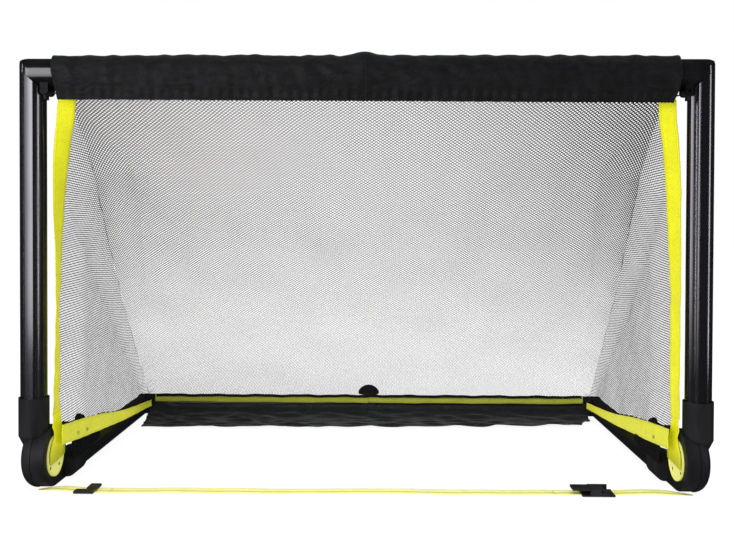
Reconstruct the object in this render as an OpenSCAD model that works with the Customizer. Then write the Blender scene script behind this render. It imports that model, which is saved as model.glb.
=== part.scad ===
// Folding goal with a netted back, for hockey and ball games.
// The mouth is a square arch of two uprights and a crossbar that folds at its
// middle. The base is two side bars and a rear bar that folds at its middle.
// Everything is in millimetres, +Z up, and the mouth faces -Y. The origin is on
// the floor under the middle of the goal's outer box.

/* [Mouth] */
// Distance between the axes of the two uprights
upright_span = 1158; // [1140:1:1180]
// Height of the top of the crossbar above the floor
frame_h = 752; // [740:1:764]

/* [Base] */
// Distance between the axes of the two side bars
base_span = 1104; // [1100:1:1108]
// Distance from the upright axes back to the axis of the rear bar
base_depth = 600; // [580:1:620]
// Height of the axes of the base tubes
base_axis_z = 24; // [24:0.5:25]

/* [Tubes] */
// Outside diameter of the tubes
tube_d = 45; // [44.5:0.1:45]
// Inside diameter of the tubes
tube_bore_d = 38; // [37:0.1:38]
// Height of the crossbar's end mouldings
bar_h = 51; // [50:0.5:52]

/* [Hubs] */
// Radius of the round hub at the foot of each upright
hub_r = 55; // [54:0.5:56]
// Distance of the hub's axis behind the upright's axis
hub_back = 16; // [16:0.5:18]
// Radius of the cover disc on the inner side of each hub
disc_r = 36.5; // [34:0.5:38]

/* [Hinges] */
// Radius of the hinge pins
pin_r = 3.5; // [3:0.1:4]
// Radial clearance of the pins in their knuckles
pin_gap = 0.05; // [0.02:0.01:0.1]
// Outside radius of the hinge knuckles
ear_r = 7; // [6.5:0.1:7.5]

/* [Webbing and net] */
// Width of the strap that lies across the mouth
strap_w = 25; // [20:1:26]
// Thickness of the stand-in sheets for the net
net_t = 1.5; // [1:0.1:2]

/* [Hidden] */
$fn = 72;
ux = upright_span / 2;
bx = base_span / 2;
tr = tube_d / 2;
ti = tube_bore_d / 2;
plug_r = ti - 0.05;
bar_z = frame_h - bar_h / 2;          // axis of the crossbar
cpx = ux - 25;                        // top corner pivots
cpz = bar_z - 31.5;
mpz = bar_z + 27.5;                   // middle pivot of the crossbar
rpx = bx - 24;                        // rear corner pivots
rpy = base_depth - 30;
rmy = base_depth + 30;                // middle pivot of the rear bar
hz = hub_r;                           // height of the hub's axis
ear_gap = 0.6;
flute_r = 30;
flute_c = 50.55;
sock_r = 25.8;
shift_y = -305.5;                   // puts the origin under the middle of the outer box
strap_left = [[-566, -14], [-549, -8], [-530, -4], [-500, -8], [-440.2, -12]];
strap_middle = [[-439.8, -12], [-300, -11], [-100, -9], [100, -7], [329.8, -6]];
strap_right = [[330.2, -6], [430, -3], [480, 2], [520, 1], [545, -7], [566, -15]];

// ---- helpers ----

// Puts a piece that is drawn from the plane of the uprights into the part's own frame.
module placed() { translate([0, shift_y, 0]) children(); }
// The right-hand piece is the mirror of the left-hand one.
module right() { mirror([1, 0, 0]) children(); }
// Cylinders along X and Y, from a to b.
module along_x(a, b, r) { translate([a, 0, 0]) rotate([0, 90, 0]) cylinder(r = r, h = b - a); }
module along_y(a, b, r) { translate([0, a, 0]) rotate([-90, 0, 0]) cylinder(r = r, h = b - a); }
// Section of the fluted tube.
module fluted() {
    difference() {
        circle(r = tr, $fn = 288);
        for (i = [0:7]) rotate(i * 45) translate([flute_c, 0]) circle(r = flute_r, $fn = 288);
        circle(r = ti, $fn = 144);
    }
}
// Everything above the mitre of the left top corner, or below it.
module top_mitre(above) {
    a = atan2(frame_h - 17 - cpz, ux + tr - cpx);
    translate([-cpx, 0, cpz]) rotate([0, a, 0])
        translate([-200, -60, above ? -0.3 : -199.7]) cube([400, 120, 200]);
}
// Everything behind the mitre of the left rear corner, or in front of it.
module rear_mitre(behind) {
    a = atan2(base_depth + 24 - rpy, bx + 24 - rpx);
    translate([-rpx, rpy, base_axis_z]) rotate([0, 0, -a])
        translate([-200, behind ? -0.3 : -199.7, -60]) cube([400, 200, 120]);
}

// ---- mouth frame ----

// Upright: fluted tube, mitred at the top and notched there for the hinge.
module upright_tube() {
    color("#17171a") difference() {
        translate([-ux, 0, 111]) linear_extrude(frame_h - 111) fluted();
        top_mitre(true);
        translate([-ux + 4, -8.2, cpz - 14.2]) cube([40, 16.4, 60]);
        translate([-cpx, 0, cpz]) along_y(-17.4, 17.4, ear_r + ear_gap);
    }
}

// Plug in the top of the upright, with the middle ear of the corner hinge.
module upright_plug() {
    color("#202023") difference() {
        union() {
            translate([-ux, 0, cpz - 80]) cylinder(r = plug_r, h = 130);
            translate([-ux + 4, -8, cpz - 14]) cube([ux - cpx - 4, 16, 14]);
            translate([-cpx, 0, cpz]) along_y(-8, 8, ear_r);
        }
        difference() {
            top_mitre(true);
            translate([-cpx, 0, cpz]) along_y(-8, 8, ear_r);
        }
        for (s = [-17.4, 8]) translate([-cpx, 0, cpz]) along_y(s, s + 9.4, ear_r + ear_gap);
        translate([-cpx, 0, cpz]) along_y(-20, 20, pin_r + pin_gap);
    }
}

module corner_pin() {
    color("#9a9a9a") translate([-cpx, 0, cpz]) along_y(-16.6, 16.6, pin_r);
}

// End moulding of the crossbar: rounded outer corner, mitre, spigot and two ears.
module crossbar_end() {
    x1 = -ux + 64;
    color("#141416") difference() {
        union() {
            intersection() {
                translate([-ux - tr, 0, bar_z]) rotate([90, 0, 90]) linear_extrude(x1 + ux + tr) union() {
                    translate([0, (bar_h - tube_d) / 2]) circle(r = tr);
                    translate([0, -(bar_h - tube_d) / 2]) circle(r = tr);
                    square([tube_d, bar_h - tube_d], center = true);
                }
                translate([0, 60, 0]) rotate([90, 0, 0]) linear_extrude(120) union() {
                    translate([-ux - tr + 20, frame_h - 20]) circle(r = 20);
                    translate([-ux - tr, 0]) square([x1 + ux + tr, frame_h - 20]);
                    translate([-ux - tr + 20, 0]) square([x1 + ux + tr - 20, frame_h]);
                }
                // seen from above, the outer end is round like the upright
                union() {
                    translate([-ux, 0, cpz - 20]) cylinder(r = tr, h = 100);
                    translate([-ux, -40, cpz - 20]) cube([x1 + ux, 80, 100]);
                }
            }
            translate([0, 0, bar_z]) along_x(x1 - 1, x1 + 42, plug_r);
            for (s = [-17, 8.3]) {
                translate([-cpx, 0, cpz]) along_y(s, s + 8.7, ear_r);
                translate([-cpx - ear_r, s, cpz]) cube([2 * ear_r, 8.7, 20]);
            }
        }
        difference() {
            top_mitre(false);
            translate([-cpx, 0, cpz]) along_y(-17, 17, ear_r);
        }
        translate([-cpx, 0, cpz]) along_y(-8.2, 8.2, ear_r + ear_gap);
        translate([-cpx, 0, cpz]) along_y(-20, 20, pin_r + pin_gap);
    }
}

module crossbar_tube() {
    color("#17171a") translate([0, 0, bar_z]) difference() {
        along_x(-ux + 64.2, -18.8, tr);
        along_x(-ux, 0, ti);
    }
}

// Half of the crossbar's middle hinge. The left one has the middle ear.
module crossbar_hinge(inner) {
    color("#202023") difference() {
        union() {
            translate([0, 0, bar_z]) along_x(-18.6, -0.4, tr);
            translate([0, 0, bar_z]) along_x(-60, -18, plug_r);
            if (inner) {
                translate([0, 0, mpz]) along_y(-7, 7, ear_r);
                translate([-14, -7, bar_z]) cube([14, 14, mpz - bar_z]);
            } else for (s = [-15, 7.3]) {
                translate([0, 0, mpz]) along_y(s, s + 7.7, ear_r);
                translate([-14, s, bar_z]) cube([14, 7.7, mpz - bar_z]);
            }
        }
        difference() {
            translate([-0.4, -40, bar_z - 60]) cube([40, 80, 120]);
            translate([0, 0, mpz]) along_y(-16, 16, ear_r);
        }
        if (inner) for (s = [-15.4, 7.1]) translate([0, 0, mpz]) along_y(s, s + 8.3, ear_r + ear_gap);
        else translate([0, 0, mpz]) along_y(-7.2, 7.2, ear_r + ear_gap);
        translate([0, 0, mpz]) along_y(-20, 20, pin_r + pin_gap);
    }
}

module crossbar_hinge_pin() {
    color("#9a9a9a") translate([0, 0, mpz]) along_y(-14.8, 14.8, pin_r);
}

// ---- hubs ----

// Foot of the upright: a sleeve for the tube and the outer cheek of the hub.
module upright_socket() {
    color("#26272b") difference() {
        union() {
            translate([-ux, 0, 95]) cylinder(r = sock_r, h = 66.5);
            translate([-ux, 0, 66]) cylinder(r1 = 12, r2 = sock_r, h = 29.01);
            translate([-ux + 7, hub_back, hz]) rotate([0, 90, 0]) rotate([0, 0, 90]) rotate_extrude() intersection() {
                union() {
                    square([hub_r - 21.5, 38], center = false);
                    translate([hub_r - 21.5, 0]) circle(r = 21.5);
                    translate([0, -21.5]) square([hub_r - 21.5, 23.5]);
                }
                translate([0, -23]) square([hub_r, 23]);
            }
            translate([-ux + 7, -14, 60]) mirror([1, 0, 0]) cube([20, 30, 42]);
        }
        translate([-ux, 0, 110.4]) cylinder(r = tr + 0.05, h = 60);
        translate([0, hub_back, hz]) along_x(-ux + 7, -ux + 60, hub_r);
        translate([0, hub_back, hz]) along_x(-ux - 8.2, -ux + 60, 9.05);
    }
}

module hub_axle() {
    color("#8c8c90") translate([0, hub_back, hz]) along_x(-ux - 8, -ux + 29.8, 9);
}

// Front end of the side bar: the drum that turns in the hub and the tube socket.
module base_knuckle() {
    color("#26272b") difference() {
        union() {
            translate([0, hub_back, hz]) along_x(-ux + 7.5, -ux + 30, hub_r - 1);
            translate([-bx, 0, base_axis_z]) along_y(74, 118, sock_r);
            translate([-bx, 60, base_axis_z]) rotate([-90, 0, 0]) cylinder(r1 = 18, r2 = sock_r, h = 14.01);
            // below the drum the socket runs on to the foot of the hub
            intersection() {
                translate([-bx, 0, base_axis_z]) along_y(hub_back, 80, sock_r);
                translate([-ux + 7.5, 0, 0]) cube([22.5, 120, 60]);
            }
        }
        translate([-bx, 0, base_axis_z]) along_y(84, 120, tr + 0.05);
        translate([0, hub_back, hz]) along_x(-ux - 10, -ux + 40, 9.05);
        translate([-bx - 100, -50, -40]) cube([200, 250, 40]);
    }
}

function screw_spots() = [[-23.5, 20], [16, -20], [-24.5, -17.5]];

// Cover disc on the inner side of the hub, with a thin raised rim.
module hub_disc() {
    color("#e8e060") translate([0, hub_back, hz]) difference() {
        union() {
            along_x(-ux + 30, -ux + 32.4, disc_r);
            difference() {
                along_x(-ux + 32, -ux + 33.4, disc_r);
                along_x(-ux + 31, -ux + 34, disc_r - 2);
            }
        }
        for (p = screw_spots()) translate([0, p[0], p[1]]) along_x(-ux + 29, -ux + 34, 3.3);
    }
}

module hub_screws() {
    color("#1c1c1e") for (p = screw_spots()) translate([0, hub_back + p[0], hz + p[1]]) difference() {
        along_x(-ux + 30, -ux + 31.8, 3.2);
        along_x(-ux + 30.8, -ux + 33, 1.3);
    }
}

// ---- base frame ----

module side_bar() {
    color("#17171a") difference() {
        translate([-bx, 84.3, base_axis_z]) rotate([-90, 0, 0]) linear_extrude(base_depth - 84.3 + tr) fluted();
        rear_mitre(true);
        translate([-bx + 4, rpy - 14.2, base_axis_z - 7.2]) cube([40, 80, 14.4]);
        translate([-rpx, rpy, base_axis_z - 15.4]) cylinder(r = ear_r + ear_gap, h = 30.8);
    }
}

// Plug in the rear end of the side bar, with the middle ear of the corner hinge.
module side_bar_plug() {
    color("#202023") difference() {
        union() {
            translate([-bx, 0, base_axis_z]) along_y(rpy - 70, rpy + 50, plug_r);
            translate([-bx + 4, rpy - 14, base_axis_z - 7]) cube([bx - rpx - 4, 14, 14]);
            translate([-rpx, rpy, base_axis_z - 7]) cylinder(r = ear_r, h = 14);
        }
        difference() {
            rear_mitre(true);
            translate([-rpx, rpy, base_axis_z - 7]) cylinder(r = ear_r, h = 14);
        }
        for (s = [-15.4, 7.1]) translate([-rpx, rpy, base_axis_z + s]) cylinder(r = ear_r + ear_gap, h = 8.3);
        translate([-rpx, rpy, 0]) cylinder(r = pin_r + pin_gap, h = 60);
    }
}

module rear_corner_pin() {
    color("#9a9a9a") translate([-rpx, rpy, base_axis_z - 14.6]) cylinder(r = pin_r, h = 29.2);
}

// End moulding of the rear bar: mitre, spigot and the two outer ears.
module rear_bar_end() {
    x1 = -bx + 62;
    r = base_axis_z;
    color("#141416") difference() {
        union() {
            intersection() {
                translate([0, base_depth, base_axis_z]) along_x(-bx - r, x1, r);
                linear_extrude(100) union() {
                    translate([-bx - r + 16, base_depth + r - 16]) circle(r = 16);
                    translate([-bx - r, base_depth - 60]) square([x1 + bx + r, 60 + r - 16]);
                    translate([-bx - r + 16, base_depth - 60]) square([x1 + bx + r - 16, 60 + r]);
                }
            }
            translate([0, base_depth, base_axis_z]) along_x(x1 - 1, x1 + 42, plug_r);
            for (s = [-15, 7.3]) {
                translate([-rpx, rpy, base_axis_z + s]) cylinder(r = ear_r, h = 7.7);
                translate([-rpx - ear_r, rpy, base_axis_z + s]) cube([2 * ear_r, 20, 7.7]);
            }
        }
        difference() {
            rear_mitre(false);
            translate([-rpx, rpy, base_axis_z - 15]) cylinder(r = ear_r, h = 30);
        }
        translate([-rpx, rpy, base_axis_z - 7.2]) cylinder(r = ear_r + ear_gap, h = 14.4);
        translate([-rpx, rpy, -1]) cylinder(r = pin_r + pin_gap, h = 60);
    }
}

module rear_bar() {
    color("#17171a") translate([-bx + 62.2, base_depth, base_axis_z]) rotate([90, 0, 90])
        linear_extrude(bx - 62.2 - 18.8) fluted();
}

// Half of the rear bar's middle hinge. The left one has the middle ear.
module rear_hinge(inner) {
    color("#202023") difference() {
        union() {
            translate([0, base_depth, base_axis_z]) along_x(-18.6, -0.9, tr);
            translate([0, base_depth, base_axis_z]) along_x(-60, -18, plug_r);
            if (inner) {
                translate([0, rmy, base_axis_z - 7]) cylinder(r = ear_r, h = 14);
                translate([-14, base_depth, base_axis_z - 7]) cube([14, rmy - base_depth, 14]);
            } else for (s = [-15, 7.3]) {
                translate([0, rmy, base_axis_z + s]) cylinder(r = ear_r, h = 7.7);
                translate([-14, base_depth, base_axis_z + s]) cube([14, rmy - base_depth, 7.7]);
            }
        }
        difference() {
            translate([-0.9, base_depth - 60, -10]) cube([40, 120, 80]);
            translate([0, rmy, 0]) cylinder(r = ear_r, h = 60);
        }
        if (inner) for (s = [-15.4, 7.1]) translate([0, rmy, base_axis_z + s]) cylinder(r = ear_r + 1.8, h = 8.3);
        else translate([0, rmy, base_axis_z - 7.2]) cylinder(r = ear_r + 1.8, h = 14.4);
        // the right half's bore is wide, because the pin floats in it
        translate([0, rmy, -10]) cylinder(r = pin_r + (inner ? pin_gap : 1.25), h = 80);
    }
}

module rear_hinge_pin() {
    color("#9a9a9a") translate([0, rmy, base_axis_z - 14.6]) cylinder(r = pin_r, h = 40.6);
}

// Domed cap on top of the rear hinge's pin.
module rear_hinge_cap() {
    c = base_axis_z + tr + 1.2;
    color("#101012") difference() {
        intersection() {
            union() {
                translate([0, rmy - 5, c]) cylinder(r = 25, h = 6);
                translate([0, rmy - 5, c - 7.7]) sphere(r = 28.52);
            }
            translate([0, rmy - 5, c]) cylinder(r = 25, h = 30);
        }
        translate([0, rmy, c - 1]) cylinder(r = pin_r + pin_gap, h = 4);
    }
}

// ---- net, sleeve and webbing ----

// Fabric sleeve round half of the crossbar, with the skirt that hangs below it.
module crossbar_sleeve() {
    color("#1b1b1d") translate([-ux + 35, 0, 0]) rotate([90, 0, 90]) linear_extrude(ux - 35 - 24) difference() {
        union() {
            translate([0, bar_z + 1]) circle(r = 28.2);
            translate([-8, frame_h - 74]) square([6, 40]);
        }
        translate([0, bar_z + 1]) circle(r = 26.8);
    }
}

// Back panel of the net, from behind the crossbar down to the rear bar.
module back_net() {
    y0 = 30; z0 = bar_z - 20; y1 = rpy - 1; z1 = base_axis_z + 25;
    a = atan2(z1 - z0, y1 - y0);
    l = sqrt((y1 - y0) * (y1 - y0) + (z1 - z0) * (z1 - z0));
    color("#2b2b2d") translate([-bx + 20, y0, z0]) rotate([a, 0, 0]) cube([bx - 21, l, net_t]);
}

// Side panel of the net, a triangle between the upright and the side bar.
module side_net() {
    color("#2b2b2d") translate([-ux + 39, 0, 0]) rotate([90, 0, 90]) linear_extrude(net_t)
        polygon([[30, bar_z - 34], [30, 116], [rpy - 12, base_axis_z + 28]]);
}

// Webbing down the front edge of the side net.
module edge_band() {
    color("#e4e02a") translate([-ux + 38.5, -6, 118]) cube([1.5, 30, 550]);
}

// Webbing along the foot of the side net.
module base_band() {
    color("#e4e02a") translate([-bx + 23.4, 0, 0]) rotate([90, 0, 90]) linear_extrude(1.5)
        polygon([[20, 104], [20, 70], [rpy - 18, 12], [rpy - 18, 34]]);
}

module band_rivets() {
    color("#8f8c30") for (p = [[76, 80], [122, 76]])
        translate([0, p[0], p[1]]) along_x(-bx + 24.9, -bx + 26.1, 3.5);
}

// Webbing along the foot of the back net, in front of the rear bar.
module rear_band() {
    color("#a9b040") translate([-bx + 64, base_depth - 24.6, 22]) cube([bx - 65, 1.5, 23]);
}

// Fabric flap that lies on the floor in front of the rear bar.
module rear_flap() {
    color("#1e1e20") translate([-bx + 46, 426, 0.6]) cube([bx - 47, base_depth - 28 - 426, 1.6]);
}

// Webbing strap on the floor across the mouth, from hub to hub: the end up to the
// slider, the slack middle, and the end with the buckle, which swings on its rivet.
module floor_strap(route) {
    n = len(route);
    color("#e6e63a") translate([0, 0, 0.4]) linear_extrude(1.6) polygon([
        for (p = route) [p[0], p[1] + strap_w / 2],
        for (i = [n - 1:-1:0]) [route[i][0], route[i][1] - strap_w / 2]]);
}

// Round sewn end of the strap under the right hub, on which the strap swings.
module strap_end() {
    color("#e6e63a") translate([ux - 13, -15, 0.4]) cylinder(r = strap_w / 2 + 0.3, h = 1.6);
}

// Slider that takes up the strap's length.
module strap_slider() {
    color("#202022") translate([-481, -12.5, 2.2]) {
        translate([-17, -23, 0]) cube([34, 16, 4]);
        translate([-1, 1, 0]) cube([18, 24, 4]);
        for (s = [-1, 12]) translate([s, -8, 0]) cube([5, 10, 3]);
    }
}

// Buckle: a base on the strap with two cheeks, and a lever that clamps the webbing.
module buckle_base() {
    color("#202022") translate([402, -14, 2.2]) difference() {
        union() {
            translate([-28, -16, 0]) cube([56, 32, 2.4]);
            for (s = [-16, 13]) translate([-14, s, 0]) cube([34, 3, 13]);
        }
        translate([6, 0, 8.6]) along_y(-20, 20, 2 + pin_gap);
    }
}

module buckle_lever() {
    color("#2a2a2c") translate([408, -14, 10.8]) difference() {
        union() {
            along_y(-12.7, 12.7, 4.6);
            translate([-50, -12.7, 0.6]) cube([50, 25.4, 4]);
        }
        along_y(-20, 20, 2 + pin_gap);
    }
}

module buckle_pin() {
    color("#8c8c90") translate([408, -14, 10.8]) along_y(-15.8, 15.8, 2);
}

// ---- nodes ----

placed() upright_tube();  // upright_tube_left
placed() right() upright_tube();  // upright_tube_right
placed() upright_plug();  // upright_plug_left
placed() right() upright_plug();  // upright_plug_right
placed() corner_pin();  // corner_pin_left
placed() right() corner_pin();  // corner_pin_right
placed() crossbar_end();  // crossbar_end_left
placed() right() crossbar_end();  // crossbar_end_right
placed() crossbar_tube();  // crossbar_tube_left
placed() right() crossbar_tube();  // crossbar_tube_right
placed() crossbar_hinge(true);  // crossbar_hinge_left
placed() right() crossbar_hinge(false);  // crossbar_hinge_right
placed() crossbar_hinge_pin();
placed() upright_socket();  // upright_socket_left
placed() right() upright_socket();  // upright_socket_right
placed() hub_axle();  // hub_axle_left
placed() right() hub_axle();  // hub_axle_right
placed() base_knuckle();  // base_knuckle_left
placed() right() base_knuckle();  // base_knuckle_right
placed() hub_disc();  // hub_disc_left
placed() right() hub_disc();  // hub_disc_right
placed() hub_screws();  // hub_screws_left
placed() right() hub_screws();  // hub_screws_right
placed() side_bar();  // side_bar_left
placed() right() side_bar();  // side_bar_right
placed() side_bar_plug();  // side_bar_plug_left
placed() right() side_bar_plug();  // side_bar_plug_right
placed() rear_corner_pin();  // rear_corner_pin_left
placed() right() rear_corner_pin();  // rear_corner_pin_right
placed() rear_bar_end();  // rear_bar_end_left
placed() right() rear_bar_end();  // rear_bar_end_right
placed() rear_bar();  // rear_bar_left
placed() right() rear_bar();  // rear_bar_right
placed() rear_hinge(true);  // rear_hinge_left
placed() right() rear_hinge(false);  // rear_hinge_right
placed() rear_hinge_pin();
placed() rear_hinge_cap();
placed() crossbar_sleeve();  // crossbar_sleeve_left
placed() right() crossbar_sleeve();  // crossbar_sleeve_right
placed() back_net();  // back_net_left
placed() right() back_net();  // back_net_right
placed() side_net();  // side_net_left
placed() right() side_net();  // side_net_right
placed() edge_band();  // edge_band_left
placed() right() edge_band();  // edge_band_right
placed() base_band();  // base_band_left
placed() right() base_band();  // base_band_right
placed() band_rivets();  // band_rivets_left
placed() right() band_rivets();  // band_rivets_right
placed() rear_band();  // rear_band_left
placed() right() rear_band();  // rear_band_right
placed() rear_flap();  // rear_flap_left
placed() right() rear_flap();  // rear_flap_right
placed() floor_strap(strap_left);  // floor_strap_left
placed() floor_strap(strap_middle);  // floor_strap_middle
placed() union() { floor_strap(strap_right); strap_end(); }  // floor_strap_right
placed() strap_slider();
placed() buckle_base();
placed() buckle_lever();
placed() buckle_pin();
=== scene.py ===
import math
import bpy
import numpy as np
from mathutils import Matrix, Vector


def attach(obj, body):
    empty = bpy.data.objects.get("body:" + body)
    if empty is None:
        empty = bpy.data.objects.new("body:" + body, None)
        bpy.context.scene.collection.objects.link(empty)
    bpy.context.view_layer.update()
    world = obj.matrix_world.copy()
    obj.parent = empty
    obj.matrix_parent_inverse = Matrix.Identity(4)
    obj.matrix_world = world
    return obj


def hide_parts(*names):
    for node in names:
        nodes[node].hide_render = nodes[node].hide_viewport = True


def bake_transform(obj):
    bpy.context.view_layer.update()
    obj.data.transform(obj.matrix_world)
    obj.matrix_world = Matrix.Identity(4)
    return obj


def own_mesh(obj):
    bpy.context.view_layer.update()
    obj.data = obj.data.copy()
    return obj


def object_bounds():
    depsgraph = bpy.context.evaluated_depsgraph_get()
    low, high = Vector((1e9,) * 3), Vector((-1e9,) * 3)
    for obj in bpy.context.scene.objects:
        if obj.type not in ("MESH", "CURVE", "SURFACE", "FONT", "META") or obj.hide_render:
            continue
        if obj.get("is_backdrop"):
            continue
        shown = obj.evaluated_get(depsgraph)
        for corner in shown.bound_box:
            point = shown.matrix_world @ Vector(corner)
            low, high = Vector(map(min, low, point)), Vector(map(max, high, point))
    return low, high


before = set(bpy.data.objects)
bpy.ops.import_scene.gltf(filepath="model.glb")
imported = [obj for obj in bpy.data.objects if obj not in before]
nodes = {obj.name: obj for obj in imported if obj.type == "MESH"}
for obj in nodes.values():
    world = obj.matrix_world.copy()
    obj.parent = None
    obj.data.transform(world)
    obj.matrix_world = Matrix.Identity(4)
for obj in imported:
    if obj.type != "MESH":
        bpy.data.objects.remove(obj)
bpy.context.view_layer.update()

S = -0.3055            # the part's own y of the uprights' plane, in the row frame
scene = bpy.context.scene


# ------------------------------------------------------------------ camera
def make_camera():
    data = bpy.data.cameras.new("camera")
    cam = bpy.data.objects.new("camera", data)
    scene.collection.objects.link(cam)
    yaw, pitch, roll = (math.radians(a) for a in (0.863, -0.902, 0.197))
    f = Vector((-math.sin(yaw) * math.cos(pitch), math.cos(yaw) * math.cos(pitch), math.sin(pitch)))
    right = Vector((math.cos(yaw), math.sin(yaw), 0.0))
    up = right.cross(f)
    r2 = right * math.cos(roll) + up * math.sin(roll)
    u2 = up * math.cos(roll) - right * math.sin(roll)
    m = Matrix.Identity(4)
    for i, axis in enumerate((r2, u2, -f)):
        for j in range(3):
            m[j][i] = axis[j]
    m.translation = Vector((0.0265, -1.4922 + S, 0.4669))
    cam.matrix_world = m
    data.sensor_width = 36.0
    data.lens = 42.11
    data.shift_x = 0.0
    data.shift_y = -0.0522
    data.clip_start = 0.01
    scene.camera = cam


make_camera()
scene.view_settings.view_transform = "Standard"
scene.view_settings.look = "None"


# ------------------------------------------------------------------ mesh helpers
def build(name, verts, faces, mat=None, body=None, smooth=True, uv=None):
    """A mesh from points in the uprights' frame (metres), faces and one uv per point."""
    v = np.array(verts, float).reshape(-1, 3).copy()
    v[:, 1] += S
    name = "soft_" + name
    me = bpy.data.meshes.new(name)
    me.from_pydata(v.tolist(), [], faces if isinstance(faces, list) else faces.tolist())
    if uv is not None:
        layer = me.uv_layers.new(name="UVMap")
        idx = np.zeros(len(me.loops), np.int32)
        me.loops.foreach_get("vertex_index", idx)
        layer.data.foreach_set("uv", np.asarray(uv, np.float32)[idx].ravel())
    me.polygons.foreach_set("use_smooth", [smooth] * len(me.polygons))
    me.update()
    ob = bpy.data.objects.new(name, me)
    scene.collection.objects.link(ob)
    if mat:
        me.materials.append(mat)
    if body:
        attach(ob, body)
    return ob


def grid(points, flip=False):
    """Quads over an (n, m, 3) array of points."""
    n, m = points.shape[:2]
    i = np.arange(n * m).reshape(n, m)
    q = np.stack([i[:-1, :-1], i[1:, :-1], i[1:, 1:], i[:-1, 1:]], -1).reshape(-1, 4)
    return points.reshape(-1, 3), (q[:, ::-1] if flip else q)


def apply_modifiers(ob):
    dg = bpy.context.evaluated_depsgraph_get()
    me = bpy.data.meshes.new_from_object(ob.evaluated_get(dg), preserve_all_data_layers=True, depsgraph=dg)
    ob.modifiers.clear()
    ob.data = me


def thicken(ob, t, offset=0.0):
    m = ob.modifiers.new("thick", "SOLIDIFY")
    m.thickness = t
    m.offset = offset
    m.use_even_offset = False
    n = len(ob.data.polygons)
    apply_modifiers(ob)
    k = len(ob.data.polygons)
    flags = np.ones(k, bool)
    flags[2 * n:] = False                      # the rim stays sharp against both sides
    ob.data.polygons.foreach_set("use_smooth", flags)
    return ob


def waves(x, y, seed, scale, n=7):
    """Smooth noise of two coordinates in metres, about -1 to 1, the same each run."""
    r = np.random.default_rng(seed)
    out = 0
    for _ in range(n):
        a = r.uniform(0, 2 * math.pi)
        k = 2 * math.pi / scale * r.uniform(0.6, 1.7)
        out = out + r.uniform(0.5, 1.0) * np.sin(k * (x * math.cos(a) + y * math.sin(a)) + r.uniform(0, 6.28))
    return out / (0.75 * math.sqrt(n) * 1.5)


def path_interp(t, stations):
    """Smooth values at t from stations [(t, values...), ...]."""
    s = np.array(stations, float)
    t = np.asarray(t, float)
    out = []
    for c in range(1, s.shape[1]):
        x, y = s[:, 0], s[:, c]
        d = np.gradient(y, x)
        i = np.clip(np.searchsorted(x, t) - 1, 0, len(x) - 2)
        h = x[i + 1] - x[i]
        u = np.clip((t - x[i]) / h, 0, 1)
        out.append((2 * u**3 - 3 * u**2 + 1) * y[i] + (u**3 - 2 * u**2 + u) * h * d[i]
                   + (-2 * u**3 + 3 * u**2) * y[i + 1] + (u**3 - u**2) * h * d[i + 1])
    return np.stack(out, -1)


# ------------------------------------------------------------------ materials
class Nodes:
    """Short names for building a node tree."""

    def __init__(self, name):
        self.mat = bpy.data.materials.new(name)
        self.mat.use_nodes = True
        self.t = self.mat.node_tree
        self.b = self.t.nodes["Principled BSDF"]

    def n(self, kind, **props):
        x = self.t.nodes.new("ShaderNode" + kind)
        for k, v in props.items():
            setattr(x, k, v)
        return x

    def put(self, socket, value):
        if isinstance(value, bpy.types.NodeSocket):
            self.t.links.new(value, socket)
        else:
            socket.default_value = value
        return socket

    def set(self, **sockets):
        for k, v in sockets.items():
            self.put(self.b.inputs[k.replace("_", " ")], v)
        return self

    def pos(self):
        return self.n("TexCoord").outputs["Object"]

    def uv(self):
        return self.n("UVMap", uv_map="UVMap").outputs["UV"]

    def scale(self, vec, xyz, rot=(0, 0, 0)):
        m = self.n("Mapping")
        self.put(m.inputs["Vector"], vec)
        m.inputs["Scale"].default_value = xyz
        m.inputs["Rotation"].default_value = rot
        return m.outputs["Vector"]

    def noise(self, vec, scale, detail=3.0, rough=0.5, distort=0.0):
        x = self.n("TexNoise")
        self.put(x.inputs["Vector"], vec)
        x.inputs["Scale"].default_value = scale
        x.inputs["Detail"].default_value = detail
        x.inputs["Roughness"].default_value = rough
        x.inputs["Distortion"].default_value = distort
        return x.outputs["Fac"]

    def voronoi(self, vec, scale, feature="F1"):
        x = self.n("TexVoronoi", feature=feature)
        self.put(x.inputs["Vector"], vec)
        x.inputs["Scale"].default_value = scale
        return x.outputs["Distance"]

    def math(self, op, a, b=0.0, clamp=False):
        x = self.n("Math", operation=op, use_clamp=clamp)
        self.put(x.inputs[0], a)
        self.put(x.inputs[1], b)
        return x.outputs[0]

    def split(self, vec):
        x = self.n("SeparateXYZ")
        self.put(x.inputs[0], vec)
        return x.outputs

    def ramp(self, fac, stops):
        x = self.n("ValToRGB")
        self.put(x.inputs[0], fac)
        e = x.color_ramp.elements
        while len(e) < len(stops):
            e.new(0.5)
        for el, (p, c) in zip(e, stops):
            el.position = p
            el.color = (c, c, c, 1) if isinstance(c, (int, float)) else (*c, 1)
        return x.outputs["Color"]

    def span(self, fac, a, b, c, d):
        x = self.n("MapRange")
        self.put(x.inputs["Value"], fac)
        for k, v in zip(("From Min", "From Max", "To Min", "To Max"), (a, b, c, d)):
            x.inputs[k].default_value = v
        return x.outputs["Result"]

    def mix(self, fac, a, b, mode="MIX"):
        x = self.n("Mix", data_type="RGBA", blend_type=mode)
        self.put(x.inputs[0], fac)
        for s, v in ((x.inputs[6], a), (x.inputs[7], b)):
            if isinstance(v, (tuple, list)) and len(v) == 3:
                v = (*v, 1)
            self.put(s, v)
        return x.outputs[2]

    def bump(self, height, strength, distance, normal=None):
        x = self.n("Bump")
        x.inputs["Strength"].default_value = strength
        x.inputs["Distance"].default_value = distance
        self.put(x.inputs["Height"], height)
        if normal is not None:
            self.put(x.inputs["Normal"], normal)
        return x.outputs["Normal"]


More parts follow.
